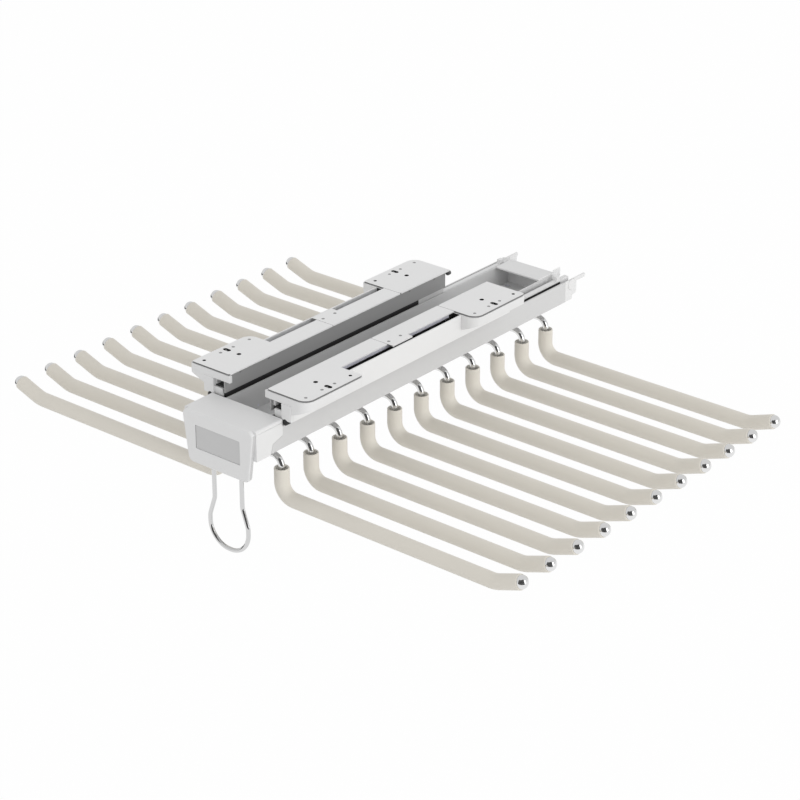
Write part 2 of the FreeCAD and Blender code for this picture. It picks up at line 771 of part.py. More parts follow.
hook_path = rounded_wire([
    (V(-arm_root_x, 0, rod_joint_z), 0),
    (V(-arm_root_x, 0, rod_z), rod_bend),
    (V(arm_root_x, 0, rod_z), rod_bend),
    (V(arm_root_x, 0, rod_joint_z), 0),
], False)
hook = bar_along(hook_path, rod_diameter / 2)
core = bar_along(arm_path(rod_joint_z - rod_joint_gap, arm_end + rise * tip_socket), rod_diameter / 2)
cross_rod = group([hook] + both_sides([core]))
sleeve_path = arm_path(sleeve_top_z, arm_end)
sleeve = bar_along(sleeve_path, sleeve_diameter / 2)
round_edges = [edge for edge in sleeve.Edges
               if edge.Closed and edge.CenterOfMass.distanceToPoint(arm_end) < sleeve_end_round]
sleeve = sleeve.makeFillet(sleeve_end_round, round_edges)
sleeve = sleeve.cut(bar_along(sleeve_path, rod_diameter / 2 + sleeve_fit))
mouth = rod(V(arm_root_x, 0, sleeve_top_z - mouth_depth), V(0, 0, 1), mouth_diameter / 2, mouth_depth)
sleeve = sleeve.cut(mouth)
dome = Part.makeSphere(tip_diameter / 2, arm_end)
behind_dome = rod(arm_end - rise * tip_diameter, rise, tip_diameter, tip_diameter)
dome = dome.cut([behind_dome, rod(arm_end, rise, rod_diameter / 2 + sleeve_fit, tip_socket)])
tips = []
for i, y in enumerate(arm_rows):
    place = V(0, y, 0)
    parts["cross_rod_%02d" % (i + 1)] = cross_rod.translated(place)
    parts["arm_sleeves_%02d" % (i + 1)] = group(both_sides([sleeve.translated(place)]))
    tips.append(dome.translated(place))
parts["arm_tips"] = group(both_sides(tips))

# Front cap: a tapered face plate with a window, a hollow body behind it and a boss for the pull loop.

flange_outline = [
    (-side_half_width, flange_top_z, flange_corner),
    (side_half_width, flange_top_z, flange_corner),
    (flange_bottom_half, flange_bottom_z, flange_corner),
    (-flange_bottom_half, flange_bottom_z, flange_corner),
]
flange = rounded_prism_y(flange_outline, cap_front_y, flange_back_y)
front_edges = [edge for edge in flange.Edges
               if all(abs(v.Y - cap_front_y) < 1e-6 for v in edge.Vertexes)]
flange = flange.makeFillet(flange_edge_round, front_edges)
body_outline = [
    (-side_half_width, flange_top_z, cap_shoulder),
    (side_half_width, flange_top_z, cap_shoulder),
    (side_half_width, frame_bottom_z, 0),
    (-side_half_width, frame_bottom_z, 0),
]
cap_body = rounded_prism_y(body_outline, flange_back_y, cap_back_y)


def flange_half(z):
    """Half the width of the tapered face plate at a height."""
    share = (flange_top_z - z) / (flange_top_z - flange_bottom_z)
    return side_half_width + share * (flange_bottom_half - side_half_width)


hollow_top_z = flange_top_z - cap_wall
hollow_bottom_z = frame_bottom_z + cap_wall
hollow_top_half = flange_half(hollow_top_z) - cap_wall
hollow_bottom_half = flange_half(hollow_bottom_z) - cap_wall
cap_hollow = prism_y([
    (-hollow_top_half, hollow_top_z),
    (hollow_top_half, hollow_top_z),
    (hollow_bottom_half, hollow_bottom_z),
    (-hollow_bottom_half, hollow_bottom_z),
], flange_back_y, cap_back_y - cap_wall)
core_window = box(-tray_in_x + cap_wall, tray_in_x - cap_wall, cap_back_y - cap_wall, cap_back_y,
                  tongue_plate_z + cap_wall, hollow_top_z - cap_wall)
boss_half = loop_leg_x - loop_neck_bend - boss_side_gap
boss = box(-boss_half, boss_half, flange_back_y, flange_back_y + boss_depth,
           loop_pivot_z - boss_below_pivot, frame_bottom_z)
pivot_bores = [rod(V(side * boss_half, loop_y, loop_pivot_z), V(-side, 0, 0), loop_wire / 2 + loop_fit,
                   loop_stub + loop_fit) for side in (-1, 1)]
tongue_plate = box(-tray_in_x, tray_in_x, cap_back_y, cap_back_y + tongue_plate_length,
                   tray_floor_z, tongue_plate_z)
window_outline = [
    (-window_width / 2, window_z + window_height / 2, window_corner),
    (window_width / 2, window_z + window_height / 2, window_corner),
    (window_width / 2, window_z - window_height / 2, window_corner),
    (-window_width / 2, window_z - window_height / 2, window_corner),
]
window = rounded_prism_y(window_outline, cap_front_y, cap_front_y + window_depth)
keel = box(-side_half_width, side_half_width, flange_back_y, nose_tip_y - nose_gap,
           frame_bottom_z - cap_keel, frame_bottom_z)
seam_z = flange_top_z - lid_height
seam = box(side_half_width - lid_seam_depth, side_half_width, flange_back_y, cap_back_y,
           seam_z - lid_seam, seam_z)
cap = flange.fuse([cap_body.cut(cap_hollow), boss, tongue_plate, keel]).removeSplitter()
cap = cap.cut(pivot_bores + [window, core_window] + cap_screw_bores + both_sides([seam, rail_nose(nose_gap)]))
parts["front_cap"] = cap
label_half_width = window_width / 2 - label_fit
label_half_height = window_height / 2 - label_fit
label = rounded_prism_y([
    (-label_half_width, window_z + label_half_height, window_corner),
    (label_half_width, window_z + label_half_height, window_corner),
    (label_half_width, window_z - label_half_height, window_corner),
    (-label_half_width, window_z - label_half_height, window_corner),
], cap_front_y + window_depth - label_thickness, cap_front_y + window_depth)
parts["label_plate"] = label
cap_screws = [pan_screw(side * cap_screw_x, y, frame_bottom_z, tongue_plate_z)
              for side in (-1, 1) for y in cap_screw_rows]
parts["frame_screws"] = group(both_sides(rail_screws) + cap_screws)

# Rear cap: cross piece, rear wall and floor plate of the tray, with horns that carry on the walls.

cross = box(-tray_in_x, tray_in_x, tray_rear_y - rear_cross_depth, tray_rear_y,
            rear_top_z - rear_cross_thickness, rear_top_z)
rear_face = box(-tray_half_width, tray_half_width, tray_rear_y, frame_rear_y, frame_bottom_z, rear_top_z)
rear_foot = box(-tray_in_x, tray_in_x, tray_rear_y - tongue_plate_length, tray_rear_y,
                tray_floor_z, tongue_plate_z)
rail_end = box(rail_in_x, rail_out_x, rail_rear_y, frame_rear_y, trough_z, rail_top_z)
sill = box(tray_half_width, side_half_width, frame_rear_y, frame_rear_y + horn_length,
           frame_bottom_z, trough_z)
sill_mid = box(-tray_half_width, tray_half_width, frame_rear_y, frame_rear_y + rear_wall,
               frame_bottom_z, rear_top_z)
rail_end_lip = box(rail_in_x, rail_out_x, frame_rear_y, frame_rear_y + horn_length, trough_z, rail_top_z)
horn = box(tray_half_width - tray_sheet, tray_half_width, frame_rear_y, frame_rear_y + horn_length,
           horn_bottom_z, horn_top_z)
cheek_rear_y = frame_rear_y + cheek_length
ear_y = cheek_rear_y + ear_length
cheek_outline = [
    (frame_rear_y, side_wall_top_z, 0),
    (ear_y, side_wall_top_z, cheek_corner / 2),
    (ear_y, side_wall_top_z - ear_height, cheek_corner / 2),
    (cheek_rear_y, side_wall_top_z - ear_height, 0),
    (cheek_rear_y, cheek_bottom_z, cheek_corner),
    (frame_rear_y, cheek_bottom_z, 0),
]
cheek_wire = rounded_wire([(V(side_in_wall_x, y, z), radius) for y, z, radius in cheek_outline], True)
cheek = Part.Face(cheek_wire).extrude(V(side_wall, 0, 0))
cheek_disc = rod(V(side_half_width, cheek_boss_y, cheek_boss_z), V(1, 0, 0), cheek_boss / 2, cheek_boss_proud)
cheek_post = box(side_in_wall_x, side_half_width, frame_rear_y, frame_rear_y + horn_length,
                 trough_z, cheek_bottom_z)
rear_cap = cross.fuse([rear_face, rear_foot, sill_mid]
                      + both_sides([rail_end, sill, rail_end_lip, horn, cheek, cheek_disc, cheek_post]))
rear_cap = rear_cap.removeSplitter().cut(cap_screw_bores)
parts["rear_cap"] = rear_cap

# Pull loop: one bent wire whose ends turn in to the boss as pivots.

stub_x = boss_half - loop_stub
loop_half = [
    (V(stub_x, loop_y, loop_pivot_z), 0),
    (V(loop_leg_x, loop_y, loop_pivot_z), loop_neck_bend),
    (V(loop_leg_x, loop_y, loop_flare_top_z), loop_flare_bend),
    (V(loop_half_width, loop_y, loop_flare_z), loop_flare_bend),
    (V(loop_half_width, loop_y, loop_bottom_z), loop_bottom_bend),
]
loop_other = [(V(-point.x, point.y, point.z), radius) for point, radius in reversed(loop_half)]
parts["pull_loop"] = bar_along(rounded_wire(loop_half + loop_other, False), loop_wire / 2)

os.makedirs("parts", exist_ok=True)
for name, shape in parts.items():
    shape.exportStep("parts/%s.step" % name)
print(len(parts), "nodes")
for name, shape in parts.items():
    if not shape.isValid() or shape.Volume <= 0:
        print("check", name, shape.isValid(), shape.Volume)
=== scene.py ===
import math

import bmesh
import bpy
import numpy as np
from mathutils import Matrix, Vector


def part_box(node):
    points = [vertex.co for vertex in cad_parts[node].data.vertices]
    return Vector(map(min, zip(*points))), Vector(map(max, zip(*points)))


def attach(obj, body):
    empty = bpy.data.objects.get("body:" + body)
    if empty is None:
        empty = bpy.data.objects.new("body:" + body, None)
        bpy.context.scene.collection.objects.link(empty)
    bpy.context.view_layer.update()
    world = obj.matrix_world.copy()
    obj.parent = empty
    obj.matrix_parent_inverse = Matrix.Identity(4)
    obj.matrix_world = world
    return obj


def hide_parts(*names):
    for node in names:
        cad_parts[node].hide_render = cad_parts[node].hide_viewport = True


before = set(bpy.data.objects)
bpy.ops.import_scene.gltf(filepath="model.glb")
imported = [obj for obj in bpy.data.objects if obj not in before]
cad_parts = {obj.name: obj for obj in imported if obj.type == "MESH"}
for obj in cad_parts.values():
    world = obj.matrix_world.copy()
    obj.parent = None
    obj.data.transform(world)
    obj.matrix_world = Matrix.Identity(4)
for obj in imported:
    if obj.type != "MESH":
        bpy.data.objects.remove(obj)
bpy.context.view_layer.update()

mm = 0.001


# Mounting plates and cover strips. Stamped steel sheet, painted satin white, that screws
# to the wardrobe's underside, with a painted shadow line on its front and outer edges and painted shade in
# its bores. The front plates run on as tongues that meet the rear strips.

def new_group(name):
    """A node group that takes a Scale and gives Height for a bump and Tone for colour and gloss, with
    its input, its output and the Object coordinates."""
    group = bpy.data.node_groups.new(name, "ShaderNodeTree")
    group.interface.new_socket("Scale", in_out="INPUT", socket_type="NodeSocketFloat")
    group.interface.new_socket("Height", in_out="OUTPUT", socket_type="NodeSocketFloat")
    group.interface.new_socket("Tone", in_out="OUTPUT", socket_type="NodeSocketFloat")
    entry = group.nodes.new("NodeGroupInput")
    leave = group.nodes.new("NodeGroupOutput")
    place = group.nodes.new("ShaderNodeTexCoord")
    return group, entry, leave, place


def grain_group():
    """Fine noise as Height, and broad noise as Tone."""
    group, entry, leave, place = new_group("paint_grain")
    fine = group.nodes.new("ShaderNodeTexNoise")
    fine.inputs["Detail"].default_value = 3.0
    broad = group.nodes.new("ShaderNodeTexNoise")
    broad.inputs["Scale"].default_value = 22.0
    broad.inputs["Detail"].default_value = 4.0
    group.links.new(place.outputs["Object"], fine.inputs["Vector"])
    group.links.new(place.outputs["Object"], broad.inputs["Vector"])
    group.links.new(entry.outputs["Scale"], fine.inputs["Scale"])
    group.links.new(fine.outputs["Fac"], leave.inputs["Height"])
    group.links.new(broad.outputs["Fac"], leave.inputs["Tone"])
    return group


paint_grain = grain_group()
tone_low, tone_high = 0.3, 0.7


def finish(name, group, scale, dark, light, rough, bump_depth, metallic=0.0):
    """A material whose colour runs from dark to light and whose roughness runs over rough by the
    group's Tone, with the group's Height at that scale as a bump of bump_depth metres."""
    material = bpy.data.materials.new(name)
    material.use_nodes = True
    tree = material.node_tree
    shader = tree.nodes["Principled BSDF"]
    shader.inputs["Metallic"].default_value = metallic
    grain = tree.nodes.new("ShaderNodeGroup")
    grain.node_tree = group
    grain.inputs["Scale"].default_value = scale
    colours = tree.nodes.new("ShaderNodeMix")
    colours.data_type = "RGBA"
    colours.inputs["A"].default_value = (*dark, 1.0)
    colours.inputs["B"].default_value = (*light, 1.0)
    gloss = tree.nodes.new("ShaderNodeMapRange")
    gloss.inputs["From Min"].default_value = tone_low
    gloss.inputs["From Max"].default_value = tone_high
    gloss.inputs["To Min"].default_value = rough[0]
    gloss.inputs["To Max"].default_value = rough[1]
    bump = tree.nodes.new("ShaderNodeBump")
    bump.inputs["Distance"].default_value = bump_depth
    bump.inputs["Strength"].default_value = 1.0
    tree.links.new(grain.outputs["Tone"], colours.inputs["Factor"])
    tree.links.new(colours.outputs["Result"], shader.inputs["Base Color"])
    tree.links.new(grain.outputs["Tone"], gloss.inputs["Value"])
    tree.links.new(gloss.outputs["Result"], shader.inputs["Roughness"])
    tree.links.new(grain.outputs["Height"], bump.inputs["Height"])
    tree.links.new(bump.outputs["Normal"], shader.inputs["Normal"])
    return material


def grey(value):
    """A neutral colour, the same value in all three channels."""
    return (value, value, value)


merge_distance = 0.005 * mm
flat_angle = math.radians(0.3)
sharp_angle = math.radians(32)


def eased(node, name, body, material, edge_round=0.0, segments=2):
    """A merged copy of a CAD node whose sharp edges are rounded to edge_round metres, or kept where
    that is zero. Its normals follow the larger faces, so that flat faces shade flat."""
    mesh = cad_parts[node].data.copy()
    mesh.name = name
    work = bmesh.new()
    work.from_mesh(mesh)
    bmesh.ops.remove_doubles(work, verts=work.verts, dist=merge_distance)
    if edge_round:
        bmesh.ops.dissolve_limit(work, angle_limit=flat_angle, verts=work.verts, edges=work.edges)
    work.to_mesh(mesh)
    work.free()
    if "custom_normal" in mesh.attributes:
        mesh.attributes.remove(mesh.attributes["custom_normal"])
    mesh.shade_smooth()
    mesh.set_sharp_from_angle(angle=sharp_angle)
    mesh.materials.clear()
    mesh.materials.append(material)
    piece = bpy.data.objects.new(name, mesh)
    bpy.context.collection.objects.link(piece)
    if edge_round:
        rounding = piece.modifiers.new("eased_edges", "BEVEL")
        rounding.width = edge_round
        rounding.segments = segments
        rounding.limit_method = "ANGLE"
        rounding.angle_limit = sharp_angle
        rounding.use_clamp_overlap = False
    flat = piece.modifiers.new("flat_faces", "WEIGHTED_NORMAL")
    flat.keep_sharp = True
    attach(piece, body)
    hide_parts(node)
    return piece


def mark_material(piece, material, chosen):
    """Gives one more material to the faces that chosen marks, from the (n, 3) arrays of the faces'
    centres and normals."""
    mesh = piece.data
    centres, normals = np.zeros((2, 3 * len(mesh.polygons)))
    mesh.polygons.foreach_get("center", centres)
    mesh.polygons.foreach_get("normal", normals)
    index = np.zeros(len(mesh.polygons), np.int32)
    mesh.polygons.foreach_get("material_index", index)
    index[chosen(centres.reshape(-1, 3), normals.reshape(-1, 3))] = len(mesh.materials)
    mesh.materials.append(material)
    mesh.polygons.foreach_set("material_index", index)


sheet_paint = finish("satin_white_sheet", paint_grain, 2600.0, grey(0.80), grey(0.84),
                     (0.36, 0.46), 0.004 * mm)
# Painted shade: a near-black for the insides of bores, channels and gaps, where shade falls.
painted_shade_black = finish("painted_shade_black", paint_grain, 900.0, grey(0.015), grey(0.025), (0.45, 0.6),
                    0.004 * mm)
# Painted shadow line: dark grey on the sheets' upright front and outer edges, for the shadow gap beneath
# them.
shadow_line_paint = finish("painted_shadow_line", paint_grain, 2600.0, grey(0.19), grey(0.23), (0.5, 0.6), 0.004 * mm)
bore_rows = {"front": -114.0 * mm, "rear": 114.0 * mm}
end_bore_offset = {"left": -28.5 * mm, "right": 28.5 * mm}
slot_x, screw_x = 58.5 * mm, 44.3 * mm
bore_reach, slot_reach = 2.8 * mm, 4.8 * mm
tongue_reach = 49.0 * mm
upright_tilt, front_tilt = 0.5, -0.3


def bore_walls(side, end):
    """Marks the upright walls of a plate's slot, screw hole and end hole, each within an ellipse about
    its axis, which take painted shade."""
    row = bore_rows[end]
    bores = [(slot_x, row, slot_reach), (screw_x, row, bore_reach),
             (slot_x, row + end_bore_offset[side], bore_reach)]

    def chosen(centres, normals):
        x, y = np.abs(centres[:, 0]), centres[:, 1]
        inside = [((x - bore_x) / reach) ** 2 + ((y - bore_y) / bore_reach) ** 2 < 1
                  for bore_x, bore_y, reach in bores]
        return np.any(inside, axis=0) & (np.abs(normals[:, 2]) < upright_tilt)
    return chosen


def shadow_line_edges(centres, normals):
    """Marks a sheet's upright edges that face the front, or lie further out than its tongue, for a painted
    shadow line.
    """
    outside = (normals[:, 1] < front_tilt) | (np.abs(centres[:, 0]) > tongue_reach)
    return outside & (np.abs(normals[:, 2]) < upright_tilt)


for side in ("left", "right"):
    for end in ("front", "rear"):
        piece = eased("mount_plate_%s_%s" % (side, end), "plate_%s_%s" % (side, end), "runners",
                      sheet_paint)
        # Painted shadow line on the plate's front and outer edges.
        mark_material(piece, shadow_line_paint, shadow_line_edges)
        # Painted shade on the walls of the plate's bores.
        mark_material(piece, painted_shade_black, bore_walls(side, end))
    piece = eased("cover_strip_" + side, "strip_" + side, "runners", sheet_paint)
    # Painted shadow line on the strip's front and outer edges.
    mark_material(piece, shadow_line_paint, shadow_line_edges)


# Wing brackets and front posts. Moulded white plastic bodies riveted under the plates, with a wing
# that stands out beyond the runner. The posts close the runners' front ends.

bracket_plastic = finish("moulded_white_bracket", paint_grain, 1500.0, grey(0.72), grey(0.77),
                         (0.42, 0.55), 0.012 * mm)
post_edge = 0.2 * mm
channel_x = 48.8 * mm
channel_side = {"left": (-channel_x, 0.0, 0.0), "right": (channel_x, 0.0, 0.0)}
along_x, along_y, along_z = (1.0, 0.0, 0.0), (0.0, 1.0, 0.0), (0.0, 0.0, 1.0)
rear_lip_y = 80.0 * mm
end_wall_tilt = -0.9


def split_at(piece, place, normal):
    """Cuts the piece's faces along the plane through a place, so that a material can end there."""
    work = bmesh.new()
    work.from_mesh(piece.data)
    parts = work.verts[:] + work.edges[:] + work.faces[:]
    bmesh.ops.bisect_plane(work, geom=parts, plane_co=place, plane_no=normal)
    work.to_mesh(piece.data)
    work.free()


def bracket_shade_faces(side, end):
    """Marks the walls of a bracket's bores, and the end wall that closes the runner's channel, for painted
    shade.
    """
    def chosen(centres, normals):
        x, y = np.abs(centres[:, 0]), centres[:, 1]
        end_wall = (x < channel_x) & (y > 0) & (y < rear_lip_y) & (normals[:, 1] < end_wall_tilt)
        return end_wall | bore_walls(side, end)(centres, normals)
    return chosen


for side in ("left", "right"):
    for end in ("front", "rear"):
        piece = eased("bracket_%s_%s" % (side, end), "wing_bracket_%s_%s" % (side, end), "runners",
                      bracket_plastic)
        split_at(piece, channel_side[side], along_x)
        # Painted shade in the bracket's bores and on the end wall of the runner's channel.
        mark_material(piece, painted_shade_black, bracket_shade_faces(side, end))
eased("front_posts", "posts", "runners", bracket_plastic, post_edge)


# Runner skirts and centre tray. Grey rolled steel sheet: the skirts are riveted angles along the
# inner edges of the runners, the tray is the channel between them.

def rolled_group():
    """Noise drawn out along Y, the rolling direction of the sheet, and a broad cloud for its tone."""
    group, entry, leave, place = new_group("rolled_grain")
    stretch = group.nodes.new("ShaderNodeMapping")
    stretch.inputs["Scale"].default_value = (1.0, 0.012, 1.0)
    lines = group.nodes.new("ShaderNodeTexNoise")
    lines.inputs["Detail"].default_value = 2.0
    cloud = group.nodes.new("ShaderNodeTexNoise")
    cloud.inputs["Scale"].default_value = 14.0
    cloud.inputs["Detail"].default_value = 3.0
    blend = group.nodes.new("ShaderNodeMix")
    blend.inputs["Factor"].default_value = 0.55
    group.links.new(place.outputs["Object"], stretch.inputs["Vector"])
    group.links.new(stretch.outputs["Vector"], lines.inputs["Vector"])
    group.links.new(entry.outputs["Scale"], lines.inputs["Scale"])
    group.links.new(place.outputs["Object"], cloud.inputs["Vector"])
    group.links.new(lines.outputs["Fac"], blend.inputs["A"])
    group.links.new(cloud.outputs["Fac"], blend.inputs["B"])
    group.links.new(lines.outputs["Fac"], leave.inputs["Height"])
    group.links.new(blend.outputs["Result"], leave.inputs["Tone"])
    return group


rolled_grain = rolled_group()
skirt_steel = finish("dark_rolled_steel", rolled_grain, 900.0, grey(0.345), grey(0.40),
                     (0.34, 0.46), 0.003 * mm, metallic=0.15)
tray_steel = finish("grey_rolled_steel", rolled_grain, 900.0, grey(0.66), grey(0.72),
                    (0.34, 0.46), 0.003 * mm, metallic=0.15)
for side in ("left", "right"):
    eased("runner_skirt_" + side, "skirt_" + side, "runners", skirt_steel)
eased("centre_tray", "tray", "frame", tray_steel)
for node in ("arm_beam", "clamp_plate"):
    eased(node, node + "_sheet", "frame", tray_steel)


# Fixed slides and side rails. White painted profiles: the slides hang from the brackets, bright outside,
# with painted shade inside. The side rails carry the troughs, and the moving rails in them; the side rails'
# grey stands in for the shade under the slides, and the moving rails' outer flanks carry painted shade.

slide_paint = finish("satin_white_slide", paint_grain, 2200.0, grey(0.76), grey(0.80),
                     (0.30, 0.40), 0.004 * mm)
# The rail's grey is partly painted shade: darker than the white parts to stand in for the shade under the
# slides.
shaded_rail_paint = finish("grey_rail_painted_shade", rolled_grain, 700.0, grey(0.60), grey(0.64),
                    (0.34, 0.44), 0.002 * mm)
inside_end_y = 112.0 * mm
flank_shade_top_z = -27.4 * mm
flank_tilt = 0.5


def channel_shade_faces(centres, normals):
    """Marks the slide's faces nearer to the middle than its outer wall, up to inside_end_y, for painted
    shade.
    """
    return (np.abs(centres[:, 0]) < channel_x) & (centres[:, 1] < inside_end_y)


def flank_shade_faces(centres, normals):
    """Marks the outer flanks of the moving rails, low down where the balls run, for painted shade."""
    return (centres[:, 2] < flank_shade_top_z) & (normals[:, 0] * np.sign(centres[:, 0]) > flank_tilt)


for side in ("left", "right"):
    piece = eased("slide_fixed_" + side, "slide_" + side, "runners", slide_paint)
    split_at(piece, (0.0, inside_end_y, 0.0), along_y)
    split_at(piece, channel_side[side], along_x)
    # Painted shade inside the slide's channel.
    mark_material(piece, painted_shade_black, channel_shade_faces)
    eased("side_rail_" + side, "trough_rail_" + side, "frame", shaded_rail_paint)
    piece = eased("slide_rail_" + side, "moving_rail_" + side, "frame", slide_paint)
    split_at(piece, (0.0, 0.0, flank_shade_top_z), along_z)
    # Painted shade on the moving rail's outer flanks.
    mark_material(piece, painted_shade_black, flank_shade_faces)


# Zinc plated steel: spine bars, ball cages, screws and rivets, bluish with a faint spangle. The bars lie
# under the strips, with painted shade at their feet and rear ends. The others keep their CAD shapes.

def spangle_group():
    """Crystal cells of a zinc coat: each Voronoi cell has its own Tone, its edges a little Height."""
    group, entry, leave, place = new_group("zinc_spangle")
    cells = group.nodes.new("ShaderNodeTexVoronoi")
    split = group.nodes.new("ShaderNodeSeparateColor")
    group.links.new(place.outputs["Object"], cells.inputs["Vector"])
    group.links.new(entry.outputs["Scale"], cells.inputs["Scale"])
    group.links.new(cells.outputs["Color"], split.inputs["Color"])
    group.links.new(cells.outputs["Distance"], leave.inputs["Height"])
    group.links.new(split.outputs["Red"], leave.inputs["Tone"])
    return group


zinc_spangle = spangle_group()
zinc = finish("bluish_zinc", zinc_spangle, 420.0, (0.66, 0.66, 0.74), (0.76, 0.76, 0.84),
              (0.34, 0.46), 0.002 * mm, metallic=0.25)
spine_end_y = 71.0 * mm
spine_low_z = -4.2 * mm
piece = eased("spine_bars", "spines", "runners", zinc)
split_at(piece, (0.0, spine_end_y, 0.0), along_y)
split_at(piece, (0.0, 0.0, spine_low_z), along_z)
# Painted shade on the bars' rear ends and feet.
mark_material(piece, painted_shade_black,
              lambda centres, normals: (centres[:, 1] > spine_end_y) | (centres[:, 2] < spine_low_z))
dull_zinc = finish("dull_zinc", zinc_spangle, 420.0, grey(0.22), grey(0.28), (0.4, 0.5), 0.002 * mm,
                   metallic=0.2)
zinc_nodes = ("ball_cage_left", "ball_cage_right", "slide_screws", "rail_rivets", "frame_screws",
              "beam_bolts")
for node in ("runner_rivets", *zinc_nodes):
    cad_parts[node].data.materials.clear()
    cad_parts[node].data.materials.append(zinc if node in zinc_nodes else dull_zinc)


# Rubber buffers. Black moulded studs: two in the front posts meet the cap when the rack is shut, two
# stand on the rear ends of the skirts.

rubber = finish("black_rubber", paint_grain, 1800.0, grey(0.018), grey(0.03), (0.6, 0.75),
                0.01 * mm)
worn_rubber = finish("worn_grey_rubber", paint_grain, 1800.0, grey(0.07), grey(0.11), (0.6, 0.75),
                     0.01 * mm)
front_stud_round, rear_stud_round, stud_segments = 0.6 * mm, 1.4 * mm, 4
eased("front_buffers", "front_studs", "runners", rubber, front_stud_round, stud_segments)
eased("rear_buffers", "rear_studs", "runners", worn_rubber, rear_stud_round, stud_segments)


# Front cap and label. A moulded white plastic end piece screwed to the tray: a tapered face plate with
# a window, a hollow body, and a boss under it that holds the pull loop. A bare grey card lies in the window.

cap_plastic = finish("moulded_white_cap", paint_grain, 1300.0, grey(0.74), grey(0.78),
                     (0.42, 0.54), 0.010 * mm)
# Painted shade: a darker grey on the face plate's sides, standing in for the shade on them.
cap_side_shade_plastic = finish("cap_side_painted_shade", paint_grain, 1300.0, grey(0.56), grey(0.60),
                          (0.5, 0.6), 0.010 * mm)
face_plate_y = -185.6 * mm
side_tilt = 0.9
piece = eased("front_cap", "cap", "frame", cap_plastic)
mark_material(piece, cap_side_shade_plastic,
              lambda centres, normals: (centres[:, 1] < face_plate_y) & (np.abs(normals[:, 0]) > side_tilt))
label_card = finish("bare_grey_label", paint_grain, 900.0, grey(0.55), grey(0.58),
                    (0.5, 0.6), 0.006 * mm)
label_edge = 0.2 * mm
eased("label_plate", "label", "frame", label_card, label_edge)


# Rear cap. The same white plastic, screwed to the tray: a cross piece and a rear wall between the
# tray's sides, with short horns that carry the walls on.

rear_cap_round = 0.5 * mm
eased("rear_cap", "end_cap", "frame", cap_plastic, rear_cap_round)


# Cross rods. Chromed steel wire bent down at both sides, one rod for a left and a right arm, clamped
# between the arm beam and its plate.

least_bend_points = 6
least_gap = 0.0001 * mm
smooth_angle = math.radians(40)


def reaches(line):
    """The distance along an XZ line at each of its points."""
    return np.concatenate([[0], np.cumsum(np.linalg.norm(np.diff(line, axis=0), axis=1))])


def bent_line(corners, bends, step):
    """Points along straight runs between XZ corners, with an arc of the given radius at each inner
    corner, about one step apart. Returns an (n, 2) array."""
    corners = np.asarray(corners, float)
    runs = [corners[:1]]
    for before, corner, after, bend in zip(corners[:-2], corners[1:-1], corners[2:], bends):
        back = (before - corner) / np.linalg.norm(before - corner)
        ahead = (after - corner) / np.linalg.norm(after - corner)
        half = 0.5 * math.acos(float(np.clip(back @ ahead, -1, 1)))
        middle = corner + (back + ahead) / np.linalg.norm(back + ahead) * bend / math.sin(half)
        start = corner + back * bend / math.tan(half) - middle
        turn = math.copysign(math.pi - 2 * half, -back[0] * ahead[1] + back[1] * ahead[0])
        angles = np.linspace(0, turn, max(least_bend_points, int(abs(turn) * bend / step) + 2))[:, None]
        across = np.array([-start[1], start[0]])
        runs.append(middle + np.cos(angles) * start + np.sin(angles) * across)
    runs.append(corners[-1:])
    knots = np.concatenate(runs)
    reach = reaches(knots)
    keep = np.concatenate([[True], np.diff(reach) > least_gap])
    knots, reach = knots[keep], reach[keep]
    fill = np.union1d(np.arange(0, reach[-1], step), reach)
    return np.stack([np.interp(fill, reach, knots[:, i]) for i in (0, 1)], axis=1)


def swept(line, along, radius, around, row_y):
    """Rings about an XZ line: at each distance along it, a circle of that radius square to the line,
    in the plane of row_y. Returns (rows, around, 3)."""
    reach = reaches(line)
    slope = np.gradient(line, reach, axis=0)
    centre = np.stack([np.interp(along, reach, line[:, i]) for i in (0, 1)], axis=1)
    heading = np.stack([np.interp(along, reach, slope[:, i]) for i in (0, 1)], axis=1)
    heading /= np.linalg.norm(heading, axis=1, keepdims=True)
    turn = np.linspace(0, 2 * math.pi, around, endpoint=False)
    out = radius[:, None] * np.cos(turn)
    x = centre[:, :1] - heading[:, 1:] * out
    z = centre[:, 1:] + heading[:, :1] * out
    y = row_y + radius[:, None] * np.sin(turn)
    return np.stack([x, y, z], axis=2)


def ring_faces(rows, around, first=0):
    """Quads between neighbouring rings, closed round."""
    index = first + np.arange(rows * around).reshape(rows, around)
    ahead = np.roll(index, -1, axis=1)
    return np.stack([index[:-1], ahead[:-1], ahead[1:], index[1:]], axis=2).reshape(-1, 4)


def add_piece(name, grids, body, material, replaced):
    """One smooth mesh of several closed ring grids, each with a pole face at both ends."""
    points, faces, first = [], [], 0
    for grid in grids:
        rows, around = grid.shape[:2]
        quads = ring_faces(rows, around, first)
        caps = [list(range(first, first + around))[::-1],
                list(range(first + (rows - 1) * around, first + rows * around))]
        points.append(grid.reshape(-1, 3))
        faces += quads.tolist() + caps
        first += rows * around
    mesh = bpy.data.meshes.new(name)
    mesh.from_pydata(np.concatenate(points).tolist(), [], faces)
    mesh.materials.append(material)
    work = bmesh.new()
    work.from_mesh(mesh)
    bmesh.ops.recalc_face_normals(work, faces=work.faces)
    work.to_mesh(mesh)
    work.free()
    mesh.shade_smooth()
    mesh.set_sharp_from_angle(angle=smooth_angle)
    piece = bpy.data.objects.new(name, mesh)
    bpy.context.collection.objects.link(piece)
    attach(piece, body)
    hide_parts(*replaced)
    return piece


